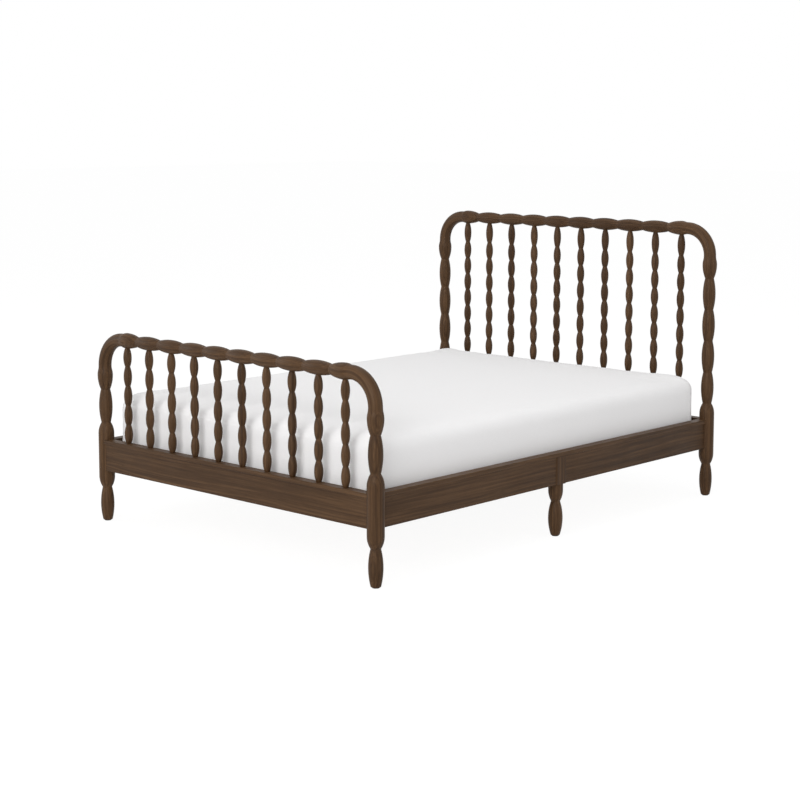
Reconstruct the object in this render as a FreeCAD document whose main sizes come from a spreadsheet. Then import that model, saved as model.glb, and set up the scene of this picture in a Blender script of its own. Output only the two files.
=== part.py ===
import FreeCAD, Part
import math
import os
import re

import Sketcher
from FreeCAD import Placement, Rotation, Vector

# A full-size spindle bed in turned wood, in millimetres. The origin is on the floor under the middle
# of the bed: +X is to the right seen from the foot, +Y runs from the foot to the head, +Z is up.

SIZES = [
    # Turned posts
    ("glide_thickness", 4, "plastic glide under each leg"),
    ("glide_diameter", 26, "plastic glide"),
    ("glide_pin_diameter", 5, "nail of a glide"),
    ("glide_pin_length", 18, "nail of a glide"),
    ("foot_height", 133, "floor to the first neck of a leg"),
    ("block_diameter", 61, "straight part of a post"),
    ("block_shoulder", 43.5, "rounded end of the straight part"),
    ("bead_pitch", 130, "post beads, neck to neck"),
    ("bead_diameter", 52, "post and top rail beads"),
    ("neck_diameter", 36, "necks between the beads"),
    ("neck_fillet", 5, "softened bottom of a neck"),
    ("head_post_beads", 4, "beads above the straight part of a head post"),
    ("foot_post_beads", 1, "beads above the straight part of a foot post"),
    # Bent corners
    ("bend_radius", 110, "centre line of the corner bend"),
    ("bend_diameter", 50, "round section in the bend"),
    ("bulge_diameter", 59, "swelling at each end of the bend"),
    ("bulge_rise", 57, "last post neck to the widest place of the swelling"),
    ("head_corner_upright", 92, "last neck of a head post to the start of the bend"),
    ("foot_corner_upright", 91.5, "last neck of a foot post to the start of the bend"),
    ("corner_level", 96, "end of the bend to the top rail"),
    ("dowel_diameter", 14, "dowels between posts, corners and top rails"),
    ("dowel_length", 70, "dowels"),
    ("dowel_play", 0.1, "radial clearance of a dowel"),
    ("dowel_end_gap", 1, "free depth at each end of a dowel"),
    # Spindles
    ("spindle_count", 10, "spindles in the headboard, and in the footboard"),
    ("spindle_diameter", 32, "spindle beads"),
    ("spindle_neck", 19, "spindle necks and tenons"),
    ("spindle_fillet", 3, "softened bottom of a spindle neck"),
    ("head_spindle_beads", 10, "beads on a head spindle"),
    ("foot_spindle_beads", 5, "beads on a foot spindle"),
    ("head_spindle_pitch", 73.5, "head spindle, neck to neck, all but its end beads"),
    ("foot_spindle_pitch", 75.3, "foot spindle, neck to neck, all but its end beads"),
    ("tenon_up", 19, "spindle tenon above the underside of the top rail"),
    ("tenon_down", 12, "spindle tenon below the top of the lower rail"),
    ("tenon_play", 0.15, "radial clearance of a spindle tenon"),
    ("tenon_end_gap", 1, "free depth above a spindle tenon"),
    # Rails
    ("rail_rise", 68, "first neck of a leg to the bottom edge of the rails"),
    ("rail_height", 121, "boards and caps together"),
    ("rail_headroom", 66, "top of the rail caps to the neck above them"),
    ("cap_height", 16, "cap strip along the top of each rail"),
    ("cap_width", 40, "cap strip"),
    ("cap_round", 2.5, "rounded long edges of a cap strip"),
    ("panel_thickness", 24, "rail boards"),
    ("panel_round", 2, "rounded lower edge of a rail board"),
    ("end_cap_out", 26, "outer face of a head or foot cap, from the post centre"),
    ("end_panel_out", 21.5, "outer face of a head or foot board, from the post centre"),
    ("side_cap_out", 12, "outer face of a side cap, from the post centre"),
    ("side_panel_out", 8, "outer face of a side board, from the post centre"),
    ("cope_gap", 0.2, "between a post and the hollowed end of a rail"),
    ("rail_tenon_thickness", 10, "tenon of a head or foot board"),
    ("rail_tenon_shoulder", 17.5, "edge of a head or foot board to its tenon"),
    ("rail_tenon_from_axis", 10, "end of that tenon, from the post centre"),
    ("rail_tenon_play", 0.2, "clearance round that tenon"),
    # Hook plates that hang the side rails on the posts
    ("plate_width", 16, "hook and slot plates"),
    ("plate_margin", 10.5, "edge of a side board to its plates"),
    ("plate_thickness", 3, "hook and slot plates"),
    ("plate_inset", 0.5, "surface of a post to where the two plates meet"),
    ("plate_play", 0.2, "clearance round the plates"),
    ("plate_screw_inset", 7, "end of a plate to its screw"),
    ("hook_spacing", 36, "between the two hooks of a plate"),
    ("hook_height", 12, "arm of a hook"),
    ("hook_reach", 10, "arm of a hook, from its plate"),
    ("hook_lip", 6, "how far a hook drops behind the slot plate"),
    ("hook_play", 0.3, "clearance round a hook in its slot"),
    # Turned legs at the middle of the side rails
    ("mid_leg_width", 56, "turned top and block of a middle leg, along the bed"),
    ("mid_leg_round", 5, "rounded upright edges of that block"),
    ("mid_leg_neck", 34, "neck and tip of a middle leg"),
    ("mid_leg_bead", 55, "foot bead of a middle leg"),
    ("mid_leg_cheek", 12, "front cheek of the block, let into the side board"),
    ("mid_leg_back_cheek", 22, "back cheek of the block, behind the side board"),
    ("leg_bolt_diameter", 6, "bolts through a middle leg"),
    ("leg_bolt_length", 41, "bolts through a middle leg, under the head"),
    ("leg_bolt_head", 14, "head of those bolts"),
    ("leg_bolt_head_height", 3, "head of those bolts"),
    ("leg_bolt_recess", 4, "depth of the round recess for that head"),
    ("leg_bolt_spacing", 50, "between the two bolts of a leg"),
    # Slats and what carries them
    ("cleat_width", 24, "cleats along the side boards"),
    ("cleat_height", 24, "cleats along the side boards"),
    ("cleat_end_gap", 45, "post centre to the end of a cleat"),
    ("end_cleat_width", 24, "short cleats on the head and foot boards"),
    ("end_cleat_length", 300, "short cleats on the head and foot boards"),
    ("end_cleat_height", 12, "short cleats on the head and foot boards"),
    ("centre_rail_width", 70, "rail under the middle of the slats"),
    ("centre_leg_diameter", 40, "legs under that rail"),
    ("centre_leg_spread", 660, "between the two legs under that rail"),
    ("hanger_bolt_diameter", 8, "bolt between a centre leg and its rail"),
    ("hanger_bolt_up", 16, "that bolt, above the top of the leg"),
    ("hanger_bolt_down", 40, "that bolt, below the top of the leg"),
    ("slat_count", 14, "slats, an even number so that none meets the middle legs"),
    ("slat_width", 75, "slats"),
    ("slat_thickness", 18, "slats"),
    ("slat_row_gap", 51, "post centre to the edge of the first slat"),
    ("slat_end_gap", 3, "free space at each end of a slat"),
    ("slat_round", 3, "rounded long edges of a slat"),
    # Screws
    ("screw_diameter", 4, "wood screws"),
    ("screw_head", 8, "wood screws"),
    ("screw_length", 34, "wood screws"),
    ("screw_head_depth", 2, "countersunk head"),
    ("screw_play", 0.1, "clearance round a screw"),
    ("cleat_screws", 6, "screws along a side cleat"),
    ("cleat_screw_gap", 167, "post centre to the first screw of a side cleat"),
    ("end_cleat_screw_inset", 40, "end of a short cleat to its screw"),
    # Mattress
    ("mattress_width", 1372, "mattress"),
    ("mattress_length", 1905, "mattress"),
    ("mattress_side_gap", 4, "between the mattress and the middle legs"),
    ("mattress_end_gap", 23.5, "between the mattress and the spindles"),
    ("mattress_thickness", 268, "mattress, edge roll to edge roll"),
    ("mattress_corner", 12, "upright corners of the mattress, in plan"),
    ("mattress_crown", 8, "rise of the top towards its middle"),
    ("mattress_roll", 52, "radius of the rounded edges at the top and bottom"),
    ("mattress_waist", 1, "how far the sides draw in halfway up"),
    ("mattress_gap", 0.3, "between the slats and the mattress"),
]
ALIASES = {alias for alias, number, note in SIZES}

# Lengths that follow from the sizes above
DERIVED = {
    # Across the bed: mattress, gap, back cheek of a middle leg, side board
    "post_span_x": "mattress_width + 2 * (mattress_side_gap + mid_leg_back_cheek"
    " + panel_thickness - side_panel_out)",
    # Along the bed: mattress, gap, half a spindle
    "post_span_y": "mattress_length + 2 * mattress_end_gap + spindle_diameter",
    # Straight part of a post, neck to neck, where the rails meet it
    "block_length": "rail_rise + rail_height + rail_headroom",
    "rail_bottom": "foot_height + rail_rise",
    "rail_top": "rail_bottom + rail_height",
    # Last neck of a post to the centre line of the top rail
    "head_corner_rise": "head_corner_upright + bend_radius",
    "foot_corner_rise": "foot_corner_upright + bend_radius",
    "spindle_spacing": "(post_span_x - 2 * bend_radius - 2 * corner_level) / (spindle_count - 2)",
    "rail_tenon_height": "rail_height - cap_height - 2 * rail_tenon_shoulder",
    "plate_height": "rail_height - cap_height - 2 * plate_margin",
    "plate_from_axis": "block_diameter / 2 - plate_inset",
    "mid_leg_depth": "side_cap_out - side_panel_out + panel_thickness + mid_leg_back_cheek",
    "slat_pitch": "(post_span_y - 2 * slat_row_gap - slat_width) / (slat_count - 1)",
    "cleat_screw_pitch": "(post_span_y - 2 * cleat_screw_gap) / (cleat_screws - 1)",
    "end_cleat_screw_spacing": "end_cleat_length - 2 * end_cleat_screw_inset",
}

doc = FreeCAD.newDocument("spindle_bed")
sheet = doc.addObject("Spreadsheet::Sheet", "Sizes")
for line, (alias, number, note) in enumerate(SIZES, start=1):
    sheet.set("A%d" % line, alias)
    sheet.set("B%d" % line, str(number))
    sheet.set("C%d" % line, note)
    sheet.setAlias("B%d" % line, alias)
doc.recompute()

pieces = []


# Formulas: each is plain arithmetic with the names of the sheet and of the derived lengths


def formula(text):
    """The text with derived lengths written out and the sheet's name put before each size."""

    def spell_out(word):
        name = word.group()
        if name in DERIVED:
            return "(%s)" % formula(DERIVED[name])
        return "Sizes." + name if name in ALIASES else name

    return re.sub(r"[a-z]\w*", spell_out, str(text))


def value(text):
    """What a formula comes to now."""
    return float(sheet.evalExpression(formula(text)))


def count(alias):
    """A size that counts copies, as a whole number."""
    return int(round(value(alias)))


def bind(item, **formulas):
    """Ties an object's properties to the sheet; x, y and z are its place."""
    for name, text in formulas.items():
        path = "Placement.Base." + name if name in ("x", "y", "z") else name
        item.setExpression(path, formula(text))
    return item


def total(*parts):
    """Formulas added up."""
    return " + ".join("(%s)" % part for part in parts)


# Sketches, bodies and features


def new_body(name):
    """An empty body that will be written out under this name."""
    body = doc.addObject("PartDesign::Body", name)
    body.Label = name
    body.AllowCompound = True
    pieces.append(body)
    return body


def origin_feature(body, role):
    """One of the body's own axes or planes."""
    return [item for item in body.Origin.OriginFeatures if item.Role == role][0]


def sagitta_radius(half_chord, rise):
    """Radius of the arc with this half chord and rise, as a formula."""
    return "((%s)^2 + (%s)^2) / (2 * (%s))" % (half_chord, rise, rise)


def arc_edge(start, end, radius, turn):
    """A circular edge from start to end, less than half a turn. turn is 1 for anticlockwise."""
    chord = end - start
    middle = (start + end) * 0.5
    to_centre = Vector(-chord.y, chord.x, 0).normalize() * turn
    centre = middle + to_centre * math.sqrt(max(radius**2 - (chord.Length / 2) ** 2, 0))
    first, last = (start, end) if turn > 0 else (end, start)
    angles = [math.atan2(point.y - centre.y, point.x - centre.x) for point in (first, last)]
    return Part.ArcOfCircle(Part.Circle(centre, Vector(0, 0, 1), radius), angles[0], angles[1])


def outline(body, name, plane, corners):
    """A closed sketch. Each corner is (across, up) for a straight edge to the next corner,
    or (across, up, radius, turn) for a round one."""
    sketch = body.newObject("Sketcher::SketchObject", name)
    sketch.AttachmentSupport = [(origin_feature(body, plane), "")]
    sketch.MapMode = "FlatFace"
    points = [Vector(value(corner[0]), value(corner[1]), 0) for corner in corners]
    ends = []
    for number, corner in enumerate(corners):
        start, end = points[number], points[(number + 1) % len(points)]
        if len(corner) == 4:
            edge = sketch.addGeometry(arc_edge(start, end, value(corner[2]), corner[3]), False)
            radius = sketch.addConstraint(Sketcher.Constraint("Radius", edge, value(corner[2])))
            sketch.setExpression("Constraints[%d]" % radius, formula(corner[2]))
            ends.append((edge, 1, 2) if corner[3] > 0 else (edge, 2, 1))
        else:
            edge = sketch.addGeometry(Part.LineSegment(start, end), False)
            ends.append((edge, 1, 2))
    for number, corner in enumerate(corners):
        edge, first, last = ends[number]
        after, after_first, after_last = ends[(number + 1) % len(ends)]
        sketch.addConstraint(Sketcher.Constraint("Coincident", edge, last, after, after_first))
        fix_point(sketch, edge, first, "DistanceX", corner[0], -2)
        fix_point(sketch, edge, first, "DistanceY", corner[1], -1)
    return sketch


def fix_point(sketch, edge, end, kind, text, axis):
    """Holds one coordinate of a sketch point: on the axis, or at a distance from the origin."""
    if text == "0":
        sketch.addConstraint(Sketcher.Constraint("PointOnObject", edge, end, axis))
        return
    held = sketch.addConstraint(Sketcher.Constraint(kind, -1, 1, edge, end, value(text)))
    sketch.setExpression("Constraints[%d]" % held, formula(text))


def turned(body, name, corners, plane="XZ_Plane", axis="Z_Axis"):
    """A turned solid: the outline revolved once round one of the body's axes."""
    sketch = outline(body, name + "_outline", plane, corners)
    solid = body.newObject("PartDesign::Revolution", name)
    solid.Profile = sketch
    solid.ReferenceAxis = (origin_feature(body, axis), [""])
    solid.Angle = 360
    body.Tip = solid
    return solid


def box_in(body, kind, name, low, high):
    """A box added to or cut from a body. kind is Additive or Subtractive; low and high are its corners."""
    item = body.newObject("PartDesign::%sBox" % kind, name)
    bind(
        item,
        x=low[0],
        y=low[1],
        z=low[2],
        Length="(%s) - (%s)" % (high[0], low[0]),
        Width="(%s) - (%s)" % (high[1], low[1]),
        Height="(%s) - (%s)" % (high[2], low[2]),
    )
    body.Tip = item
    return item


def cylinder_in(body, kind, name, start, length, radius, along=(0, 0, 1)):
    """A cylinder added to or cut from a body, from start along a direction."""
    item = body.newObject("PartDesign::%sCylinder" % kind, name)
    item.Placement = Placement(Vector(), Rotation(Vector(0, 0, 1), Vector(*along)))
    bind(item, x=start[0], y=start[1], z=start[2], Height=length, Radius=radius)
    body.Tip = item
    return item


def cone_in(body, name, start, length, low_radius, high_radius, along):
    """A countersink cut from a body."""
    item = body.newObject("PartDesign::SubtractiveCone", name)
    item.Placement = Placement(Vector(), Rotation(Vector(0, 0, 1), Vector(*along)))
    bind(item, x=start[0], y=start[1], z=start[2], Height=length, Radius1=low_radius, Radius2=high_radius)
    body.Tip = item
    return item


def pattern(body, name, originals, axis, pitch, copies):
    """Equal copies of some features along one of the body's axes."""
    item = body.newObject("PartDesign::LinearPattern", name)
    item.Originals = originals
    item.Direction = (origin_feature(body, axis), [""])
    item.Mode = "Extent"
    bind(item, Length="(%s) * (%s - 1)" % (pitch, copies), Occurrences=copies)
    body.Tip = item
    return item


def fillet_edges(body, name, radius, chosen):
    """Rounds the edges of the body's tip for which chosen(edge) is true."""
    doc.recompute()
    base = body.Tip
    names = [
        "Edge%d" % number
        for number, edge in enumerate(base.Shape.Edges, start=1)
        if chosen(edge)
    ]
    item = body.newObject("PartDesign::Fillet", name)
    item.Base = (base, names)
    bind(item, Radius=radius)
    body.Tip = item
    return item


def is_neck(edge, diameter):
    """True for the sharp ring at a neck of a turned piece, but not for the ring round a flat end."""
    if not isinstance(edge.Curve, Part.Circle):
        return False
    return abs(edge.Curve.Radius - value(diameter) / 2) < 0.01


def mirrored(name, source, normal):
    """The mirror image of a piece, across the middle of the bed."""
    item = doc.addObject("Part::Mirroring", name)
    item.Label = name
    item.Source = source
    item.Base = Vector()
    item.Normal = normal
    pieces.append(item)
    return item


ACROSS = Vector(1, 0, 0)
ALONG = Vector(0, 1, 0)


def group(name, members):
    """Several equal solids that share one name."""
    item = doc.addObject("Part::Compound", name)
    item.Label = name
    item.Links = members
    pieces.append(item)
    return item


def four_corners(name, first):
    """A group of a piece at the left foot corner and its images at the other three."""
    pieces.remove(first)
    right = mirrored(name + "_right", first, ACROSS)
    head = mirrored(name + "_head", first, ALONG)
    head_right = mirrored(name + "_head_right", head, ACROSS)
    for item in (right, head, head_right):
        pieces.remove(item)
    return group(name, [first, right, head, head_right])


# Places that several pieces share

POST_X = "post_span_x / 2"
POST_Y = "post_span_y / 2"
NECK = "neck_diameter / 2"
BEAD = "bead_diameter / 2"
PANEL_TOP = "rail_top - cap_height"
DECK_BOTTOM = "rail_bottom + cleat_height"
DECK_TOP = total(DECK_BOTTOM, "slat_thickness")
BLOCK_TOP = "foot_height + block_length"
COPE = "block_diameter / 2 + cope_gap"
PLATE_BOTTOM = "(rail_bottom + %s - plate_height) / 2" % PANEL_TOP
TENON_BOTTOM = "(rail_bottom + %s - rail_tenon_height) / 2" % PANEL_TOP
DOWEL_HOLE = "dowel_length / 2 + dowel_end_gap"
DOWEL_BORE = "dowel_diameter / 2 + dowel_play"
SIDE_INNER = "(%s + side_panel_out - panel_thickness)" % POST_X
END_INNER = "(%s + end_panel_out - panel_thickness)" % POST_Y
END_SPINDLE_X = "(spindle_count - 1) / 2 * spindle_spacing"
TOP_RAIL_END = "(spindle_count - 2) / 2 * spindle_spacing"
ENDS = {
    "head": {
        "y": POST_Y,
        "beads": "head_post_beads",
        "rise": "head_corner_rise",
        "spindle_beads": "head_spindle_beads",
        "spindle_pitch": "head_spindle_pitch",
    },
    "foot": {
        "y": "-(%s)" % POST_Y,
        "beads": "foot_post_beads",
        "rise": "foot_corner_rise",
        "spindle_beads": "foot_spindle_beads",
        "spindle_pitch": "foot_spindle_pitch",
    },
}
for end in ENDS.values():
    end["last_neck"] = total(BLOCK_TOP, "%s * bead_pitch" % end["beads"])
    end["arch"] = total(end["last_neck"], end["rise"])


# Turned posts


def leg_corners(neck, bead):
    """Outline of a turned foot, from the glide to its neck, as far as the start of what is above."""
    half = "(foot_height - glide_thickness) / 2"
    return [
        ("0", "glide_thickness"),
        (neck, "glide_thickness", sagitta_radius(half, "(%s) - (%s)" % (bead, neck)), 1),
    ]


def make_post(side, toward):
    """The left post of one end. toward is the sign along Y from the post to the middle of the bed."""
    end = ENDS[side]
    body = new_body(side + "_post_left")
    bind(body, x="-(%s)" % POST_X, y=end["y"])
    block = "block_diameter / 2"
    shoulder = sagitta_radius("block_shoulder", "(%s) - (%s)" % (block, NECK))
    corners = leg_corners(NECK, BEAD)
    corners += [
        (NECK, "foot_height", shoulder, 1),
        (block, "foot_height + block_shoulder"),
        (block, BLOCK_TOP + " - block_shoulder", shoulder, 1),
    ]
    bead_arc = sagitta_radius("bead_pitch / 2", "(%s) - (%s)" % (BEAD, NECK))
    for number in range(count(end["beads"])):
        corners.append((NECK, total(BLOCK_TOP, "%d * bead_pitch" % number), bead_arc, 1))
    corners += [(NECK, end["last_neck"]), ("0", end["last_neck"])]
    turned(body, side + "_post_turning", corners)
    ends_at = (value("glide_thickness"), value(end["last_neck"]))
    fillet_edges(
        body,
        side + "_post_necks",
        "neck_fillet",
        lambda edge: is_neck(edge, "neck_diameter")
        and min(abs(edge.Curve.Center.z - z) for z in ends_at) > 1,
    )
    cylinder_in(
        body, "Subtractive", side + "_post_dowel_hole",
        ("0", "0", "(%s) - (%s)" % (end["last_neck"], DOWEL_HOLE)), DOWEL_HOLE, DOWEL_BORE,
    )
    cylinder_in(
        body, "Subtractive", side + "_post_glide_hole",
        ("0", "0", "glide_thickness"), "glide_pin_length", "glide_pin_diameter / 2 + screw_play",
    )
    cut_rail_mortise(body, side, toward)
    cut_plate_housing(body, side, toward)
    return body


def span(sign, near, far):
    """Two formulas in rising order for a stretch that runs from near to far in the direction of sign."""
    if sign > 0:
        return near, far
    return "-(%s)" % far, "-(%s)" % near


def cut_rail_mortise(body, side, toward):
    """The mortise for the head or foot board's tenon, on the side that faces the other post."""
    middle = "(end_panel_out - panel_thickness / 2)"
    low_y, high_y = span(
        -toward,
        "%s - rail_tenon_thickness / 2 - rail_tenon_play" % middle,
        "%s + rail_tenon_thickness / 2 + rail_tenon_play" % middle,
    )
    box_in(
        body, "Subtractive", side + "_post_mortise",
        ("rail_tenon_from_axis - dowel_end_gap", low_y, TENON_BOTTOM + " - rail_tenon_play"),
        ("block_diameter", high_y, "%s + rail_tenon_height + rail_tenon_play" % TENON_BOTTOM),
    )


def cut_plate_housing(body, side, toward):
    """The flat housing for the slot plate, and the deeper room for the hooks behind it."""
    middle = "(panel_thickness / 2 - side_panel_out)"
    floor = "plate_from_axis - plate_thickness"
    low_y, high_y = span(toward, floor, "block_diameter")
    box_in(
        body, "Subtractive", side + "_post_housing",
        ("%s - plate_width / 2 - plate_play" % middle, low_y, PLATE_BOTTOM + " - plate_play"),
        ("%s + plate_width / 2 + plate_play" % middle, high_y, PLATE_BOTTOM + " + plate_height + plate_play"),
    )
    room = "plate_from_axis - hook_reach - dowel_end_gap"
    low_y, high_y = span(toward, room, floor)
    box_in(
        body, "Subtractive", side + "_post_hook_room",
        ("%s - plate_thickness" % middle, low_y, "%s - hook_lip - dowel_end_gap" % hook_bottom(0)),
        ("%s + plate_thickness" % middle, high_y, "%s + hook_height + hook_lip + hook_play" % hook_bottom(1)),
    )
    for level in (-1, 1):
        drill(
            body, "%s_post_plate_screw_%d" % (side, level),
            (middle, "%d * (%s)" % (toward, floor), plate_screw_height(level)), (0, -toward, 0),
            "screw_length - plate_thickness + screw_play",
        )


# Bent corners between the posts and the top rails


def make_corner(side):
    """The left corner of one end: a swelling, a quarter bend and a second swelling over the end spindle."""
    end = ENDS[side]
    body = new_body(side + "_corner_left")
    bind(body, x="-(%s)" % POST_X, y=end["y"], z=end["last_neck"])
    bend = "bend_diameter / 2"
    bulge = "bulge_diameter / 2"
    rise = "(%s) - bend_radius" % end["rise"]
    corners = [("0", "0")] + swelling(NECK, bulge, bend, "bulge_rise", rise) + [("0", rise)]
    turned(body, side + "_corner_upright", corners)
    torus = body.newObject("PartDesign::AdditiveTorus", side + "_corner_bend")
    torus.Placement = Placement(Vector(), Rotation(Vector(0, 1, 1), 180))
    torus.Angle3 = 90
    bind(torus, x="bend_radius", z=rise, Radius1="bend_radius", Radius2=bend)
    body.Tip = torus
    # The level part is turned in a body of its own, standing up, and laid over onto the bend
    reach = "corner_level"
    far_rise = "spindle_spacing / 2"
    level = doc.addObject("PartDesign::Body", side + "_corner_level_part")
    turned(
        level, side + "_corner_level",
        [("0", "0")] + swelling(NECK, bulge, bend, far_rise, reach) + [("0", reach)],
    )
    level.Placement = Placement(Vector(), Rotation(Vector(0, 1, 0), -90))
    bind(level, x="bend_radius + %s" % reach, z=end["rise"])
    join = body.newObject("PartDesign::Boolean", side + "_corner_join")
    join.Type = "Fuse"
    join.addObject(level)
    body.Tip = join
    cylinder_in(
        body, "Subtractive", side + "_corner_post_dowel_hole",
        ("0", "0", "0"), DOWEL_HOLE, DOWEL_BORE,
    )
    cylinder_in(
        body, "Subtractive", side + "_corner_rail_dowel_hole",
        ("bend_radius + %s" % reach, "0", end["rise"]), DOWEL_HOLE, DOWEL_BORE, (-1, 0, 0),
    )
    cylinder_in(
        body, "Subtractive", side + "_corner_spindle_hole",
        ("(%s) - (%s)" % (POST_X, END_SPINDLE_X), "0", "(%s) - bulge_diameter" % end["rise"]),
        "bulge_diameter / 2 + tenon_up + tenon_end_gap", "spindle_neck / 2 + tenon_play",
    )
    return body


def swelling(neck, bulge, bend, to_bulge, to_bend):
    """Outline from a neck out to a swelling and, by two tangent arcs, in to the section of the bend."""
    half_length = "((%s) - (%s)) / 2" % (to_bend, to_bulge)
    half_drop = "((%s) - (%s)) / 2" % (bulge, bend)
    flow = sagitta_radius(half_length, half_drop)
    return [
        (neck, "0", sagitta_radius(to_bulge, "(%s) - (%s)" % (bulge, neck)), 1),
        (bulge, to_bulge, flow, 1),
        (total(bend, half_drop), "((%s) + (%s)) / 2" % (to_bend, to_bulge), flow, -1),
        (bend, to_bend),
    ]


# Beaded top rails


def make_top_rail(side):
    """The beaded rail between the two corners, with a mortise under the middle of each bead."""
    end = ENDS[side]
    beads = count("spindle_count") - 2
    body = new_body(side + "_top_rail")
    bind(body, x="-(%s)" % TOP_RAIL_END, y=end["y"], z=end["arch"])
    bead_arc = sagitta_radius("spindle_spacing / 2", "(%s) - (%s)" % (BEAD, NECK))
    length = "(spindle_count - 2) * spindle_spacing"
    corners = [("0", "0"), ("0", NECK, bead_arc, -1)]
    corners += [("%d * spindle_spacing" % number, NECK, bead_arc, -1) for number in range(1, beads)]
    corners += [(length, NECK), (length, "0")]
    turned(body, side + "_top_rail_turning", corners, axis="X_Axis")
    ends_at = (0, value(length))
    fillet_edges(
        body, side + "_top_rail_necks", "neck_fillet",
        lambda edge: is_neck(edge, "neck_diameter")
        and min(abs(edge.Curve.Center.x - x) for x in ends_at) > 1,
    )
    cylinder_in(
        body, "Subtractive", side + "_top_rail_left_dowel_hole",
        ("0", "0", "0"), DOWEL_HOLE, DOWEL_BORE, (1, 0, 0),
    )
    cylinder_in(
        body, "Subtractive", side + "_top_rail_right_dowel_hole",
        (length, "0", "0"), DOWEL_HOLE, DOWEL_BORE, (-1, 0, 0),
    )
    hole = cylinder_in(
        body, "Subtractive", side + "_top_rail_spindle_hole",
        ("spindle_spacing / 2", "0", "-bead_diameter"),
        "bead_diameter / 2 + tenon_up + tenon_end_gap", "spindle_neck / 2 + tenon_play",
    )
    pattern(body, side + "_top_rail_spindle_holes", [hole], "X_Axis", "spindle_spacing", "spindle_count - 2")
    return body


# Spindles


def make_spindle(side, number):
    """One turned spindle, with a straight tenon at each end."""
    end = ENDS[side]
    name = "%s_spindle_%02d" % (side, number + 1)
    body = new_body(name)
    place = "(%d - (spindle_count - 1) / 2) * spindle_spacing" % number
    bind(body, x=place, y=end["y"], z="rail_top - tenon_down")
    outermost = number in (0, count("spindle_count") - 1)
    top_section = "bulge_diameter / 2" if outermost else "bead_diameter / 2"
    length = "(%s) - %s - rail_top" % (end["arch"], top_section)
    beads = count(end["spindle_beads"])
    pitch = end["spindle_pitch"]
    end_bead = "((%s) - %d * %s) / 2" % (length, beads - 2, pitch)
    neck = "spindle_neck / 2"
    rise = "(spindle_diameter - spindle_neck) / 2"
    end_arc = sagitta_radius("(%s) / 2" % end_bead, rise)
    middle_arc = sagitta_radius("%s / 2" % pitch, rise)
    corners = [("0", "0"), (neck, "0"), (neck, "tenon_down", end_arc, 1)]
    for bead in range(beads - 2):
        corners.append((neck, total("tenon_down", end_bead, "%d * %s" % (bead, pitch)), middle_arc, 1))
    corners.append((neck, total("tenon_down", end_bead, "%d * %s" % (beads - 2, pitch)), end_arc, 1))
    tenon_foot = total("tenon_down", length)
    tip = total(tenon_foot, "tenon_up")
    corners += [(neck, tenon_foot), (neck, tip), ("0", tip)]
    turned(body, name + "_turning", corners)
    low, high = value("tenon_down") + 1, value(tenon_foot) - 1
    fillet_edges(
        body, name + "_necks", "spindle_fillet",
        lambda edge: is_neck(edge, "spindle_neck") and low < edge.Curve.Center.z < high,
    )
    return body


# Head and foot boards with their caps


def cope_ends(body, name):
    """Hollows both ends of a rail that runs across, or along, to fit round the posts."""
    for index, (x, y) in enumerate(rail_posts(name)):
        cylinder_in(
            body, "Subtractive", "%s_cope_%d" % (name, index),
            (x, y, "0"), "rail_top * 2", COPE,
        )


def rail_posts(name):
    """Centres of the two posts that a rail of the foot or of the left side runs between."""
    left, foot = "-(%s)" % POST_X, "-(%s)" % POST_Y
    if name.startswith("side"):
        return [(left, foot), (left, POST_Y)]
    return [(left, foot), (POST_X, foot)]


def make_foot_panel():
    """The foot board: hollowed ends, and a tenon into each post."""
    name = "foot_rail_panel"
    body = new_body(name)
    outer = "-(%s) - end_panel_out" % POST_Y
    inner = total(outer, "panel_thickness")
    box_in(
        body, "Additive", name + "_board",
        ("-(%s)" % POST_X, outer, "rail_bottom"), (POST_X, inner, PANEL_TOP),
    )
    cope_ends(body, name)
    middle = total(outer, "panel_thickness / 2")
    inside = "block_diameter"
    for sign in (-1, 1):
        low_x, high_x = span(
            sign, "(%s) - %s" % (POST_X, inside), "(%s) - rail_tenon_from_axis" % POST_X,
        )
        box_in(
            body, "Additive", "%s_tenon_%s" % (name, "left" if sign < 0 else "right"),
            (low_x, "%s - rail_tenon_thickness / 2" % middle, TENON_BOTTOM),
            (high_x, "%s + rail_tenon_thickness / 2" % middle, TENON_BOTTOM + " + rail_tenon_height"),
        )
    for sign in (-1, 1):
        drill(
            body, "%s_screw_%s" % (name, "left" if sign < 0 else "right"),
            ("%d * end_cleat_screw_spacing / 2" % sign, inner, END_CLEAT_MIDDLE), (0, -1, 0),
            "screw_length - end_cleat_width + screw_play",
        )
    round_long_edges(body, name, "X", "panel_round", lambda z: z < value("rail_bottom") + 1)
    return body


def make_foot_cap():
    """The cap on the foot board, with a mortise for each spindle."""
    name = "foot_rail_cap"
    body = new_body(name)
    outer = "-(%s) - end_cap_out" % POST_Y
    box_in(
        body, "Additive", name + "_strip",
        ("-(%s)" % POST_X, outer, PANEL_TOP), (POST_X, total(outer, "cap_width"), "rail_top"),
    )
    cope_ends(body, name)
    round_long_edges(body, name, "X", "cap_round", lambda z: True)
    hole = cylinder_in(
        body, "Subtractive", name + "_spindle_hole",
        ("-(%s)" % END_SPINDLE_X, "-(%s)" % POST_Y, "rail_top - tenon_down"),
        "tenon_down * 2", "spindle_neck / 2 + tenon_play",
    )
    pattern(body, name + "_spindle_holes", [hole], "X_Axis", "spindle_spacing", "spindle_count")
    return body


def round_long_edges(body, name, axis, radius, at_height):
    """Rounds the straight edges of the body's tip that run along one axis, at the heights asked for."""
    direction = {"X": ACROSS, "Y": ALONG}[axis]

    def chosen(edge):
        if not isinstance(edge.Curve, Part.Line) or edge.Length < value("post_span_x") / 2:
            return False
        return abs(edge.Curve.Direction.dot(direction)) > 0.999 and at_height(edge.CenterOfMass.z)

    return fillet_edges(body, name + "_rounding", radius, chosen)


# Side boards with their caps


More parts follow.
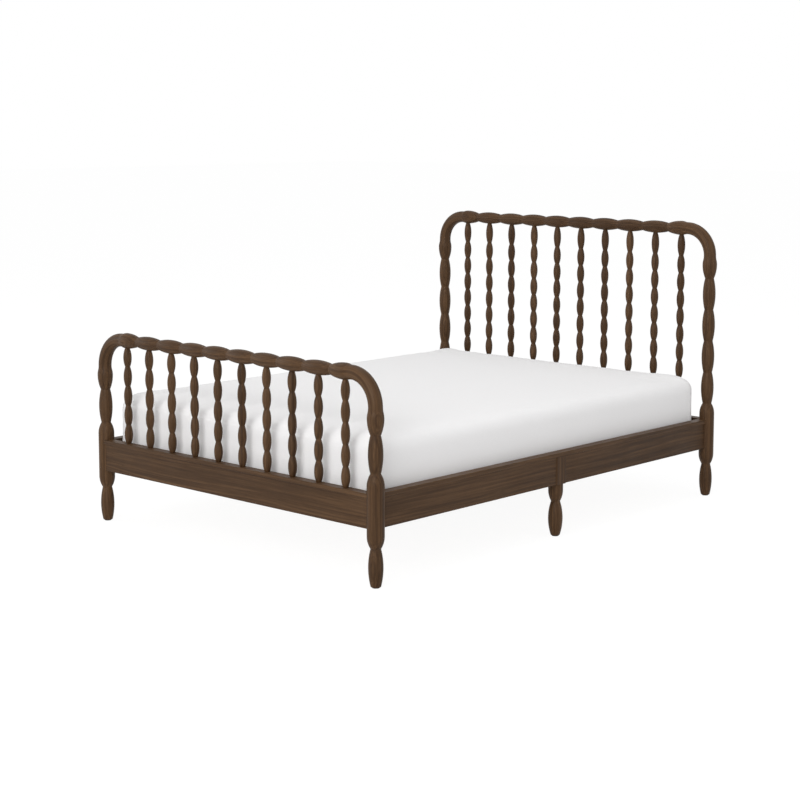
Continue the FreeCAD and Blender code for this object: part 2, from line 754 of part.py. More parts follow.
def make_side_panel():
    """The left side board: hollowed ends, a recess for each hook plate, and a notch for the middle leg."""
    name = "side_rail_panel_left"
    body = new_body(name)
    outer = "-(%s) - side_panel_out" % POST_X
    inner = total(outer, "panel_thickness")
    middle = total(outer, "panel_thickness / 2")
    box_in(
        body, "Additive", name + "_board",
        (outer, "-(%s)" % POST_Y, "rail_bottom"), (inner, POST_Y, PANEL_TOP),
    )
    cope_ends(body, name)
    round_long_edges(body, name, "Y", "panel_round", lambda z: z < value("rail_bottom") + 1)
    for sign in (-1, 1):
        low_y, high_y = span(
            sign, "(%s) - plate_from_axis - plate_thickness" % POST_Y, "(%s) - plate_thickness" % POST_Y,
        )
        box_in(
            body, "Subtractive", "%s_recess_%s" % (name, "foot" if sign < 0 else "head"),
            ("%s - plate_width / 2 - plate_play" % middle, low_y, PLATE_BOTTOM + " - plate_play"),
            ("%s + plate_width / 2 + plate_play" % middle, high_y,
             PLATE_BOTTOM + " + plate_height + plate_play"),
        )
        for level in (-1, 1):
            drill(
                body, "%s_plate_screw_%s_%d" % (name, "foot" if sign < 0 else "head", level),
                (middle, "%d * (%s - plate_from_axis - plate_thickness)" % (sign, POST_Y),
                 plate_screw_height(level)),
                (0, -sign, 0), "screw_length - plate_thickness + screw_play",
            )
    box_in(
        body, "Subtractive", name + "_leg_notch",
        (outer, "-mid_leg_width / 2", "rail_bottom - cap_height"),
        ("%s + mid_leg_cheek - side_cap_out" % ("-(%s)" % POST_X), "mid_leg_width / 2", PANEL_TOP),
    )
    for level in (-1, 1):
        cylinder_in(
            body, "Subtractive", "%s_bolt_hole_%d" % (name, level),
            (outer, "0", leg_bolt_height(level)), "panel_thickness",
            "leg_bolt_diameter / 2 + screw_play", (1, 0, 0),
        )
    hole = drill(
        body, name + "_cleat_screw", (inner, CLEAT_SCREW_START, CLEAT_MIDDLE), (-1, 0, 0),
        "screw_length - cleat_width + screw_play",
    )
    pattern(body, name + "_cleat_screws", [hole], "Y_Axis", "cleat_screw_pitch", "cleat_screws")
    return body


def make_side_cap():
    """The cap on the left side board."""
    name = "side_rail_cap_left"
    body = new_body(name)
    outer = "-(%s) - side_cap_out" % POST_X
    box_in(
        body, "Additive", name + "_strip",
        (outer, "-(%s)" % POST_Y, PANEL_TOP), (total(outer, "cap_width"), POST_Y, "rail_top"),
    )
    cope_ends(body, name)
    round_long_edges(body, name, "Y", "cap_round", lambda z: True)
    return body


# Screws, their holes, bolts and dowels

CLEAT_MIDDLE = "rail_bottom + cleat_height / 2"
END_CLEAT_MIDDLE = "rail_bottom + end_cleat_height / 2"
CLEAT_SCREW_START = "-(cleat_screws - 1) / 2 * cleat_screw_pitch"


def drill(body, name, start, along, depth):
    """A screw's hole."""
    return cylinder_in(body, "Subtractive", name, start, depth, "screw_diameter / 2 + screw_play", along)


def sink(body, name, start, along):
    """The countersink for a screw's head, and the hole below it through the first piece."""
    return cone_in(
        body, name, start, "screw_head_depth",
        "screw_head / 2 + screw_play", "screw_diameter / 2 + screw_play", along,
    )


def screw(name, start, along):
    """A countersunk wood screw, with its head's face at start."""
    turn = Rotation(Vector(0, 0, 1), Vector(*along))
    head = doc.addObject("Part::Cone", name + "_head")
    head.Placement = Placement(Vector(), turn)
    bind(
        head, x=start[0], y=start[1], z=start[2],
        Height="screw_head_depth", Radius1="screw_head / 2", Radius2="screw_diameter / 2",
    )
    shank = doc.addObject("Part::Cylinder", name + "_shank")
    shank.Placement = Placement(Vector(), turn)
    bind(
        shank, x=start[0], y=start[1], z=start[2],
        Height="screw_length", Radius="screw_diameter / 2",
    )
    whole = doc.addObject("Part::Fuse", name)
    whole.Base = head
    whole.Tool = shank
    return whole


def plate_screw_height(level):
    """Height of the upper or lower screw of a hook or slot plate."""
    return "%s + plate_height / 2 + %d * (plate_height / 2 - plate_screw_inset)" % (PLATE_BOTTOM, level)


def leg_bolt_height(level):
    """Height of the upper or lower bolt of a middle leg."""
    return "(rail_bottom + %s) / 2 + %d * leg_bolt_spacing / 2" % (PANEL_TOP, level)


def hook_bottom(index):
    """Height of the underside of a hook's arm."""
    return "%s + (plate_height - hook_spacing - hook_height) / 2 + %d * hook_spacing" % (PLATE_BOTTOM, index)


PLATE_X = "-(%s) - side_panel_out + panel_thickness / 2" % POST_X


def make_hook_plates():
    """Steel plates let into the ends of the side boards, each with two hooks."""
    name = "rail_hook_plates"
    body = new_body(name + "_first")
    face = "-(%s) + plate_from_axis" % POST_Y
    box_in(
        body, "Additive", name + "_plate",
        ("%s - plate_width / 2" % PLATE_X, face, PLATE_BOTTOM),
        ("%s + plate_width / 2" % PLATE_X, "%s + plate_thickness" % face, PLATE_BOTTOM + " + plate_height"),
    )
    for index in (0, 1):
        bottom = hook_bottom(index)
        low_x, high_x = "%s - plate_thickness / 2" % PLATE_X, "%s + plate_thickness / 2" % PLATE_X
        box_in(
            body, "Additive", "%s_arm_%d" % (name, index),
            (low_x, "%s - hook_reach" % face, bottom), (high_x, face, bottom + " + hook_height"),
        )
        box_in(
            body, "Additive", "%s_lip_%d" % (name, index),
            (low_x, "%s - hook_reach" % face, bottom + " - hook_lip"),
            (high_x, "%s - plate_thickness - hook_play" % face, bottom),
        )
    for level in (-1, 1):
        start = (PLATE_X, face, plate_screw_height(level))
        drill(body, "%s_hole_%d" % (name, level), start, (0, 1, 0), "plate_thickness")
        sink(body, "%s_sink_%d" % (name, level), start, (0, 1, 0))
    return four_corners(name, body)


def make_slot_plates():
    """Steel plates let into the posts; the hooks drop into their slots."""
    name = "post_slot_plates"
    body = new_body(name + "_first")
    face = "-(%s) + plate_from_axis" % POST_Y
    back = "%s - plate_thickness" % face
    box_in(
        body, "Additive", name + "_plate",
        ("%s - plate_width / 2" % PLATE_X, back, PLATE_BOTTOM),
        ("%s + plate_width / 2" % PLATE_X, face, PLATE_BOTTOM + " + plate_height"),
    )
    for index in (0, 1):
        box_in(
            body, "Subtractive", "%s_slot_%d" % (name, index),
            ("%s - plate_thickness / 2 - hook_play" % PLATE_X, back, hook_bottom(index)),
            ("%s + plate_thickness / 2 + hook_play" % PLATE_X, face,
             "%s + hook_height + hook_lip + hook_play" % hook_bottom(index)),
        )
    for level in (-1, 1):
        start = (PLATE_X, face, plate_screw_height(level))
        drill(body, "%s_hole_%d" % (name, level), start, (0, -1, 0), "plate_thickness")
        sink(body, "%s_sink_%d" % (name, level), start, (0, -1, 0))
    return four_corners(name, body)


def make_plate_screws():
    """The screws of the hook plates, into the side boards, and of the slot plates, into the posts."""
    members = []
    for sign_x in (-1, 1):
        for sign_y in (-1, 1):
            for level in (-1, 1):
                start = (
                    "%d * (%s)" % (-sign_x, PLATE_X),
                    "%d * (%s - plate_from_axis)" % (sign_y, POST_Y),
                    plate_screw_height(level),
                )
                for way in (-1, 1):
                    name = "plate_screw_%d" % len(members)
                    members.append(screw(name, start, (0, way * sign_y, 0)))
    return group("plate_screws", members)


def make_dowels():
    """The dowels that join posts, corners and top rails, four in each end of the bed."""
    members = []
    for side, end in ENDS.items():
        for sign in (-1, 1):
            upright = doc.addObject("Part::Cylinder", "%s_post_dowel_%d" % (side, len(members)))
            bind(
                upright, x="%d * (%s)" % (sign, POST_X), y=end["y"],
                z="(%s) - dowel_length / 2" % end["last_neck"],
                Radius="dowel_diameter / 2", Height="dowel_length",
            )
            level = doc.addObject("Part::Cylinder", "%s_rail_dowel_%d" % (side, len(members)))
            level.Placement = Placement(Vector(), Rotation(Vector(0, 0, 1), ACROSS))
            bind(
                level, x="%d * (%s) - dowel_length / 2" % (sign, TOP_RAIL_END), y=end["y"], z=end["arch"],
                Radius="dowel_diameter / 2", Height="dowel_length",
            )
            members += [upright, level]
    return group("corner_dowels", members)


# Legs at the middle of the side rails


def make_mid_leg():
    """The left middle leg: a block that straddles the side board, over a turned foot."""
    name = "mid_leg_left"
    body = new_body(name)
    outer = "-(%s) - side_cap_out" % POST_X
    bind(body, x=total(outer, "mid_leg_width / 2"))
    neck, block, bead = "mid_leg_neck / 2", "mid_leg_width / 2", "mid_leg_bead / 2"
    corners = leg_corners(neck, bead) + [
        (neck, "foot_height", sagitta_radius("block_shoulder", "(%s) - (%s)" % (block, neck)), 1),
        (block, "foot_height + block_shoulder"),
        (block, "rail_bottom"),
        ("0", "rail_bottom"),
    ]
    turned(body, name + "_turning", corners)
    fillet_edges(
        body, name + "_neck_rounding", "neck_fillet",
        lambda edge: is_neck(edge, "mid_leg_neck")
        and edge.Curve.Center.z > value("glide_thickness") + 1,
    )
    doc.recompute()
    block_box = doc.addObject("PartDesign::Body", name + "_block")
    box_in(
        block_box, "Additive", name + "_block_box",
        ("-(%s)" % block, "-(%s)" % block, "rail_bottom"),
        ("mid_leg_depth - %s" % block, block, PANEL_TOP),
    )
    fillet_edges(
        block_box, name + "_block_rounding", "mid_leg_round",
        lambda edge: abs(edge.Curve.Direction.z) > 0.9 and edge.CenterOfMass.x < 0,
    )
    join = body.newObject("PartDesign::Boolean", name + "_join")
    join.Type = "Fuse"
    join.addObject(block_box)
    body.Tip = join
    front = "-(%s) + mid_leg_cheek" % block
    box_in(
        body, "Subtractive", name + "_slot",
        (front, "-mid_leg_width", "rail_bottom"),
        ("-(%s) + side_cap_out - side_panel_out + panel_thickness" % block, "mid_leg_width",
         PANEL_TOP + " + cap_height"),
    )
    back = "mid_leg_depth - mid_leg_width / 2"
    depth = "leg_bolt_recess + leg_bolt_length + dowel_end_gap"
    for level in (-1, 1):
        cylinder_in(
            body, "Subtractive", "%s_bolt_hole_%d" % (name, level),
            ("%s - (%s)" % (back, depth), "0", leg_bolt_height(level)), depth,
            "leg_bolt_diameter / 2 + screw_play", (1, 0, 0),
        )
        cylinder_in(
            body, "Subtractive", "%s_bolt_recess_%d" % (name, level),
            ("%s - leg_bolt_recess" % back, "0", leg_bolt_height(level)), "leg_bolt_recess",
            "leg_bolt_head / 2 + dowel_end_gap", (1, 0, 0),
        )
    cylinder_in(
        body, "Subtractive", name + "_glide_hole",
        ("0", "0", "glide_thickness"), "glide_pin_length", "glide_pin_diameter / 2 + screw_play",
    )
    return body


def make_leg_bolts():
    """The bolts through the middle legs. Their heads lie in recesses in the inner face, and they
    stop inside the front cheek."""
    members = []
    for sign in (-1, 1):
        for level in (-1, 1):
            seat = "%d * (%s + side_cap_out - mid_leg_depth + leg_bolt_recess)" % (sign, POST_X)
            turn = Rotation(Vector(0, 0, 1), Vector(sign, 0, 0))
            number = len(members)
            shank = doc.addObject("Part::Cylinder", "leg_bolt_shank_%d" % number)
            shank.Placement = Placement(Vector(), turn)
            bind(
                shank, x=seat, z=leg_bolt_height(level),
                Radius="leg_bolt_diameter / 2", Height="leg_bolt_length",
            )
            head = doc.addObject("Part::Cylinder", "leg_bolt_head_%d" % number)
            head.Placement = Placement(Vector(), turn)
            bind(
                head, x="%s - %d * leg_bolt_head_height" % (seat, sign), z=leg_bolt_height(level),
                Radius="leg_bolt_head / 2", Height="leg_bolt_head_height",
            )
            bolt = doc.addObject("Part::Fuse", "leg_bolt_%d" % number)
            bolt.Base = shank
            bolt.Tool = head
            members.append(bolt)
    return group("mid_leg_bolts", members)


# Slats and what carries them


def make_side_cleat():
    """The left cleat, screwed along the side board, which the slats rest on."""
    name = "slat_cleat_left"
    body = new_body(name)
    wall = "-(%s)" % SIDE_INNER
    inner = total(wall, "cleat_width")
    box_in(
        body, "Additive", name + "_strip",
        (wall, "-(%s) + cleat_end_gap" % POST_Y, "rail_bottom"),
        (inner, "(%s) - cleat_end_gap" % POST_Y, DECK_BOTTOM),
    )
    # Cut in two by the block of the middle leg
    box_in(
        body, "Subtractive", name + "_leg_notch",
        (wall, "-mid_leg_width / 2", "rail_bottom"), (inner, "mid_leg_width / 2", DECK_BOTTOM),
    )
    start = (inner, CLEAT_SCREW_START, CLEAT_MIDDLE)
    hole = drill(body, name + "_hole", start, (-1, 0, 0), "cleat_width")
    cone = sink(body, name + "_sink", start, (-1, 0, 0))
    pattern(body, name + "_holes", [hole, cone], "Y_Axis", "cleat_screw_pitch", "cleat_screws")
    bite = "screw_length - slat_thickness + screw_play"
    hole = drill(
        body, name + "_slat_hole", ("-(%s)" % SLAT_SCREW_X, SLAT_START, "%s - (%s)" % (DECK_BOTTOM, bite)),
        (0, 0, 1), bite,
    )
    pattern(body, name + "_slat_holes", [hole], "Y_Axis", "slat_pitch", "slat_count")
    return body


def make_foot_cleat():
    """The short cleat on the foot board, which carries an end of the centre rail."""
    name = "foot_end_cleat"
    body = new_body(name)
    wall = "-(%s)" % END_INNER
    inner = total(wall, "end_cleat_width")
    box_in(
        body, "Additive", name + "_strip",
        ("-end_cleat_length / 2", wall, "rail_bottom"),
        ("end_cleat_length / 2", inner, "rail_bottom + end_cleat_height"),
    )
    for sign in (-1, 1):
        start = ("%d * end_cleat_screw_spacing / 2" % sign, inner, END_CLEAT_MIDDLE)
        drill(body, "%s_hole_%d" % (name, sign), start, (0, -1, 0), "end_cleat_width")
        sink(body, "%s_sink_%d" % (name, sign), start, (0, -1, 0))
    return body


def make_cleat_screws():
    """The screws along both side cleats and through the two short ones."""
    members = []
    for sign in (-1, 1):
        for number in range(count("cleat_screws")):
            start = (
                "%d * (%s - cleat_width)" % (sign, SIDE_INNER),
                "%s + %d * cleat_screw_pitch" % (CLEAT_SCREW_START, number),
                CLEAT_MIDDLE,
            )
            members.append(screw("cleat_screw_%d" % len(members), start, (sign, 0, 0)))
    for sign_y in (-1, 1):
        for sign_x in (-1, 1):
            start = (
                "%d * end_cleat_screw_spacing / 2" % sign_x,
                "%d * (%s - end_cleat_width)" % (sign_y, END_INNER),
                END_CLEAT_MIDDLE,
            )
            members.append(screw("cleat_screw_%d" % len(members), start, (0, sign_y, 0)))
    return group("cleat_screws", members)


def make_centre_rail():
    """The flat rail under the middle of the slats, notched over the short cleats."""
    name = "centre_rail"
    body = new_body(name)
    box_in(
        body, "Additive", name + "_board",
        ("-centre_rail_width / 2", "-(%s)" % END_INNER, "rail_bottom"),
        ("centre_rail_width / 2", END_INNER, DECK_BOTTOM),
    )
    for sign in (-1, 1):
        low_y, high_y = span(sign, "(%s) - end_cleat_width" % END_INNER, END_INNER)
        box_in(
            body, "Subtractive", "%s_notch_%d" % (name, sign),
            ("-centre_rail_width / 2", low_y, "rail_bottom"),
            ("centre_rail_width / 2", high_y, "rail_bottom + end_cleat_height"),
        )
        cylinder_in(
            body, "Subtractive", "%s_bolt_hole_%d" % (name, sign),
            ("0", "%d * centre_leg_spread / 2" % sign, "rail_bottom"),
            "hanger_bolt_up + dowel_end_gap", "hanger_bolt_diameter / 2 + screw_play",
        )
    return body


def make_centre_leg(name, sign):
    """A round leg under the centre rail."""
    body = new_body(name)
    bind(body, y="%d * centre_leg_spread / 2" % sign)
    cylinder_in(
        body, "Additive", name + "_round",
        ("0", "0", "glide_thickness"), "rail_bottom - glide_thickness", "centre_leg_diameter / 2",
    )
    fillet_edges(
        body, name + "_rounding", "panel_round",
        lambda edge: isinstance(edge.Curve, Part.Circle)
        and edge.Curve.Center.z < value("glide_thickness") + 1,
    )
    cylinder_in(
        body, "Subtractive", name + "_bolt_hole",
        ("0", "0", "rail_bottom - hanger_bolt_down - dowel_end_gap"),
        "hanger_bolt_down + dowel_end_gap", "hanger_bolt_diameter / 2 + screw_play",
    )
    cylinder_in(
        body, "Subtractive", name + "_glide_hole",
        ("0", "0", "glide_thickness"), "glide_pin_length", "glide_pin_diameter / 2 + screw_play",
    )
    return body


def make_hanger_bolts():
    """The bolts between the centre legs and their rail."""
    members = []
    for sign in (-1, 1):
        bolt = doc.addObject("Part::Cylinder", "hanger_bolt_%d" % len(members))
        bind(
            bolt, y="%d * centre_leg_spread / 2" % sign, z="rail_bottom - hanger_bolt_down",
            Radius="hanger_bolt_diameter / 2", Height="hanger_bolt_down + hanger_bolt_up",
        )
        members.append(bolt)
    return group("hanger_bolts", members)


def make_glides():
    """A nail-on plastic glide under every leg."""
    left_leg = "(%s) + side_cap_out - mid_leg_width / 2" % POST_X
    places = [(sign_x, POST_X, sign_y, POST_Y) for sign_x in (-1, 1) for sign_y in (-1, 1)]
    places += [(sign, left_leg, 1, "0") for sign in (-1, 1)]
    places += [(1, "0", sign, "centre_leg_spread / 2") for sign in (-1, 1)]
    members = []
    for sign_x, x, sign_y, y in places:
        number = len(members)
        pad = doc.addObject("Part::Cylinder", "glide_pad_%d" % number)
        bind(
            pad, x="%d * (%s)" % (sign_x, x), y="%d * (%s)" % (sign_y, y),
            Radius="glide_diameter / 2", Height="glide_thickness",
        )
        nail = doc.addObject("Part::Cylinder", "glide_nail_%d" % number)
        bind(
            nail, x="%d * (%s)" % (sign_x, x), y="%d * (%s)" % (sign_y, y), z="glide_thickness",
            Radius="glide_pin_diameter / 2", Height="glide_pin_length - dowel_end_gap",
        )
        glide = doc.addObject("Part::Fuse", "glide_%d" % number)
        glide.Base = pad
        glide.Tool = nail
        members.append(glide)
    return group("foot_glides", members)


SLAT_START = "-(slat_count - 1) / 2 * slat_pitch"
SLAT_SCREW_X = "(%s) - cleat_width / 2" % SIDE_INNER


def make_slats():
    """The slats, side by side on the cleats and the centre rail."""
    body = new_body("slats")
    half_length = "(%s) - slat_end_gap" % SIDE_INNER
    slat = box_in(
        body, "Additive", "slat",
        ("-(%s)" % half_length, "%s - slat_width / 2" % SLAT_START, DECK_BOTTOM),
        (half_length, "%s + slat_width / 2" % SLAT_START, DECK_TOP),
    )
    pattern(body, "slat_row", [slat], "Y_Axis", "slat_pitch", "slat_count")
    round_long_edges(body, "slat", "X", "slat_round", lambda z: True)
    for sign in (-1, 1):
        place = "%d * (%s)" % (sign, SLAT_SCREW_X)
        hole = drill(
            body, "slat_hole_%d" % sign, (place, SLAT_START, DECK_BOTTOM), (0, 0, 1), "slat_thickness",
        )
        cone = cone_in(
            body, "slat_sink_%d" % sign, (place, SLAT_START, "%s - screw_head_depth" % DECK_TOP),
            "screw_head_depth", "screw_diameter / 2 + screw_play", "screw_head / 2 + screw_play",
            (0, 0, 1),
        )
        pattern(body, "slat_holes_%d" % sign, [hole, cone], "Y_Axis", "slat_pitch", "slat_count")
    return body


def make_slat_screws():
    """A screw through each end of each slat, down into the cleat."""
    members = []
    for sign in (-1, 1):
        for number in range(count("slat_count")):
            start = (
                "%d * (%s)" % (sign, SLAT_SCREW_X),
                "%s + %d * slat_pitch" % (SLAT_START, number),
                DECK_TOP,
            )
            members.append(screw("slat_screw_%d" % len(members), start, (0, 0, -1)))
    return group("slat_screws", members)


# Mattress


def rounded_rectangle(body, name, inset, height):
    """A sketch of the mattress's plan, drawn in by inset, at a height."""
    sketch = body.newObject("Sketcher::SketchObject", name)
    sketch.AttachmentSupport = [(origin_feature(body, "XY_Plane"), "")]
    sketch.MapMode = "FlatFace"
    sketch.setExpression("AttachmentOffset.Base.z", formula(height))
    half_x = "mattress_width / 2 - (%s)" % inset
    half_y = "mattress_length / 2 - (%s)" % inset
    radius = "mattress_corner"
    wide, deep, corner = value(half_x), value(half_y), value(radius)
    centres = [(1, 1, 0), (-1, 1, 90), (-1, -1, 180), (1, -1, 270)]
    arcs = []
    for sign_x, sign_y, start in centres:
        centre = Vector(sign_x * (wide - corner), sign_y * (deep - corner), 0)
        circle = Part.Circle(centre, Vector(0, 0, 1), corner)
        arc = Part.ArcOfCircle(circle, math.radians(start), math.radians(start + 90))
        arcs.append(sketch.addGeometry(arc, False))
    for number, arc in enumerate(arcs):
        after = arcs[(number + 1) % 4]
        start = sketch.getPoint(arc, 2)
        end = sketch.getPoint(after, 1)
        side = sketch.addGeometry(Part.LineSegment(start, end), False)
        sketch.addConstraint(Sketcher.Constraint("Tangent", arc, 2, side, 1))
        sketch.addConstraint(Sketcher.Constraint("Tangent", side, 2, after, 1))
        sketch.addConstraint(Sketcher.Constraint("Vertical" if number % 2 else "Horizontal", side))
    for arc in arcs[1:]:
        sketch.addConstraint(Sketcher.Constraint("Equal", arcs[0], arc))
    held = sketch.addConstraint(Sketcher.Constraint("Radius", arcs[0], corner))
    sketch.setExpression("Constraints[%d]" % held, formula(radius))
    fix_point(sketch, arcs[0], 1, "DistanceX", half_x, -2)
    fix_point(sketch, arcs[0], 2, "DistanceY", half_y, -1)
    fix_point(sketch, arcs[2], 1, "DistanceX", "-(%s)" % half_x, -2)
    fix_point(sketch, arcs[2], 2, "DistanceY", "-(%s)" % half_y, -1)
    return sketch


def make_mattress():
    """The mattress: rounded edges, sides that draw in a little and a crowned top."""
    body = new_body("mattress")
    bind(body, z=total(DECK_TOP, "mattress_gap"))
    tall = "mattress_thickness"
    roll = "mattress_roll"
    steps = 4
    sections = []
    for step in range(steps):
        turn = math.pi / 2 * step / steps
        sections.append((
            "%s * %.4f" % (roll, 1 - math.sin(turn)),
            "%s * %.4f" % (roll, 1 - math.cos(turn)),
        ))
    sections.append(("0", roll))
    for share in (0.25, 0.5, 0.75):
        draw = math.sin(math.pi * share)
        height = "%s + (%s - 2 * %s) * %.2f" % (roll, tall, roll, share)
        sections.append(("mattress_waist * %.4f" % draw, height))
    for inset, height in reversed(sections[:steps + 1]):
        sections.append((inset, "%s - %s" % (tall, height)))
    for share in (0.25, 0.5, 0.75, 1):
        inset = "%s + (mattress_width / 2 - %s - mattress_corner * 1.2) * %.2f" % (roll, roll, share)
        sections.append((inset, "%s + mattress_crown * %.4f" % (tall, 1 - (1 - share) ** 2)))
    sketches = [
        rounded_rectangle(body, "mattress_section_%d" % number, inset, height)
        for number, (inset, height) in enumerate(sections)
    ]
    loft = body.newObject("PartDesign::AdditiveLoft", "mattress_loft")
    loft.Profile = sketches[0]
    loft.Sections = sketches[1:]
    loft.Ruled = True
    body.Tip = loft
    return body


def build():
    """Makes every piece of the bed."""
    for side, toward in (("head", -1), ("foot", 1)):
        mirrored(side + "_post_right", make_post(side, toward), ACROSS)
        mirrored(side + "_corner_right", make_corner(side), ACROSS)
        make_top_rail(side)
        for number in range(count("spindle_count")):
            make_spindle(side, number)
    mirrored("head_rail_panel", make_foot_panel(), ALONG)
    mirrored("head_rail_cap", make_foot_cap(), ALONG)
    mirrored("side_rail_panel_right", make_side_panel(), ACROSS)
    mirrored("side_rail_cap_right", make_side_cap(), ACROSS)
    mirrored("mid_leg_right", make_mid_leg(), ACROSS)
    mirrored("slat_cleat_right", make_side_cleat(), ACROSS)
    mirrored("head_end_cleat", make_foot_cleat(), ALONG)
    make_centre_rail()
    make_centre_leg("centre_leg_foot", -1)
    make_centre_leg("centre_leg_head", 1)
    make_slats()
    make_slat_screws()
    make_hook_plates()
    make_slot_plates()
    make_plate_screws()
    make_dowels()
    make_leg_bolts()
    make_cleat_screws()
    make_hanger_bolts()
    make_glides()
    make_mattress()


def write():
    """Checks every object and every piece, then writes one file per piece."""
    doc.recompute()
    for item in doc.Objects:
        if "Invalid" in item.State or "Error" in item.State:
            raise RuntimeError("%s failed: %s" % (item.Name, item.State))
    for item in pieces:
        if item.Shape.isNull() or not item.Shape.isValid() or not item.Shape.Solids:
            raise RuntimeError("%s has no valid solid" % item.Label)
    os.makedirs("parts", exist_ok=True)
    for item in pieces:
        item.Shape.exportStep("parts/%s.step" % item.Label)
        print("%-24s %2d solids %10.1f cm3" % (item.Label, len(item.Shape.Solids), item.Shape.Volume / 1000))


build()
write()
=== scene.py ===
import math

import bmesh
import bpy
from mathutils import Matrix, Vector


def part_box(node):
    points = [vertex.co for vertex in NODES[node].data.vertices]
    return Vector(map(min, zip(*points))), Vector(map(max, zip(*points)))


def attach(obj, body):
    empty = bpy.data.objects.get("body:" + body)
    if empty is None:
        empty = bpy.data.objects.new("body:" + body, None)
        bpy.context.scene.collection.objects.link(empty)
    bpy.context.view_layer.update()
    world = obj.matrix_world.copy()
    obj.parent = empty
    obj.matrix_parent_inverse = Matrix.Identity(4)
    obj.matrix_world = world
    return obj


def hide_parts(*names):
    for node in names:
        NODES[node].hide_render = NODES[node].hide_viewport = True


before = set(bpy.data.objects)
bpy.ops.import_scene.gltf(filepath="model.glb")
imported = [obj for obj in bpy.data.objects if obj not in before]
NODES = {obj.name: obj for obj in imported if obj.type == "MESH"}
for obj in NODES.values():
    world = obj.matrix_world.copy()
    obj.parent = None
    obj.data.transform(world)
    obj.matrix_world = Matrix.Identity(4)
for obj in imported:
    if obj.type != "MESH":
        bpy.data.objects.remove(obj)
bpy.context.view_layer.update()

# ---------------------------------------------------------------- node trees


class Tree:
    """The node tree of a material or a world, written as chained calls."""

    def __init__(self, owner):
        self.owner = owner
        owner.use_nodes = True
        self.nodes = owner.node_tree.nodes
        self.links = owner.node_tree.links
        self.nodes.clear()

    def add(self, kind, inputs=None, **settings):
        node = self.nodes.new(kind)
        for name, value in settings.items():
            setattr(node, name, value)
        for key, value in (inputs or {}).items():
            self.set(node.inputs[key], value)
        return node

    def set(self, socket, value):
        """Links an output to the socket, or gives it a constant. A colour may leave out its alpha."""
        if isinstance(value, bpy.types.NodeSocket):
            self.links.new(value, socket)
        elif socket.type == "RGBA" and len(value) == 3:
            socket.default_value = (*value, 1.0)
        else:
            socket.default_value = value

    def math(self, operation, first, second=0.0, third=0.0):
        node = self.add("ShaderNodeMath", operation=operation)
        for socket, value in zip(node.inputs, (first, second, third)):
            self.set(socket, value)
        return node.outputs[0]

    def distance(self, first, second):
        """The root of the sum of two squares."""
        squares = [self.math("MULTIPLY", value, value) for value in (first, second)]
        return self.math("SQRT", self.math("ADD", *squares))

    def noise(self, vector, scale=1.0, detail=2.0, rough=0.5, distortion=0.0):
        node = self.add("ShaderNodeTexNoise", {
            "Vector": vector, "Scale": scale, "Detail": detail, "Roughness": rough,
            "Distortion": distortion,
        })
        return node.outputs["Fac"]

    def noise_line(self, along, scale, detail=2.0, rough=0.5):
        """Noise that changes along one coordinate only."""
        node = self.add("ShaderNodeTexNoise", {
            "W": self.math("MULTIPLY", along, scale), "Scale": 1.0, "Detail": detail,
            "Roughness": rough,
        }, noise_dimensions="1D")
        return node.outputs["Fac"]

    def range(self, value, low, high, to_low=0.0, to_high=1.0, curve="LINEAR"):
        node = self.add("ShaderNodeMapRange", {
            "Value": value, "From Min": low, "From Max": high, "To Min": to_low, "To Max": to_high,
        }, interpolation_type=curve)
        return node.outputs["Result"]

    def ramp(self, value, stops):
        node = self.add("ShaderNodeValToRGB", {"Fac": value})
        elements = node.color_ramp.elements
        while len(elements) < len(stops):
            elements.new(0.5)
        for element, (position, colour) in zip(elements, stops):
            element.position = position
            element.color = (*colour, 1.0)
        return node.outputs["Color"]

    def mix(self, factor, first, second):
        """A mix of two colours, whose sockets go by number, as other kinds share their names."""
        node = self.add("ShaderNodeMix", {"Factor": factor, 6: first, 7: second}, data_type="RGBA")
        return node.outputs[2]

    def place(self):
        """The point in the bed's own frame, in metres."""
        return self.add("ShaderNodeTexCoord").outputs["Object"]

    def split(self, vector):
        return self.add("ShaderNodeSeparateXYZ", {"Vector": vector}).outputs

    def combine(self, x, y, z):
        return self.add("ShaderNodeCombineXYZ", {"X": x, "Y": y, "Z": z}).outputs[0]

    def stretch(self, vector, x, y, z):
        node = self.add("ShaderNodeVectorMath", {0: vector, 1: (x, y, z)}, operation="MULTIPLY")
        return node.outputs[0]

    def bump(self, height, strength, distance, under=None):
        node = self.add(
            "ShaderNodeBump", {"Height": height, "Strength": strength, "Distance": distance})
        if under is not None:
            self.set(node.inputs["Normal"], under)
        return node.outputs["Normal"]

    def finish(self, shader, output="ShaderNodeOutputMaterial"):
        """Makes the shader the surface, and returns the material or world."""
        self.add(output, {"Surface": shader.outputs[0]})
        return self.owner

    def surface(self, color, rough, normal, **sockets):
        """A Principled shader as the material's surface."""
        names = {
            "metal": "Metallic", "specular": "Specular IOR Level",
            "sheen": "Sheen Weight", "sheen_rough": "Sheen Roughness",
        }
        inputs = {"Base Color": color, "Roughness": rough, "Normal": normal}
        inputs.update((names[key], value) for key, value in sockets.items())
        return self.finish(self.add("ShaderNodeBsdfPrincipled", inputs))

    def seen(self, lit, shown):
        """One shader for what lights the object, and one for the camera, gloss and glass."""
        path = self.add("ShaderNodeLightPath").outputs
        direct = self.math("MAXIMUM", path["Is Camera Ray"], path["Is Glossy Ray"])
        direct = self.math("MAXIMUM", direct, path["Is Transmission Ray"])
        return self.add(
            "ShaderNodeMixShader", {0: direct, 1: lit.outputs[0], 2: shown.outputs[0]})


def new_material(name):
    return Tree(bpy.data.materials.new(name))


def shaded(colour, factor):
    return tuple(channel * factor for channel in colour)


# ---------------------------------------------------------------- materials

# From the bed's middle to the heart of the log, across the grain. It lies outside every piece.
HEART = (0.37, 0.23)


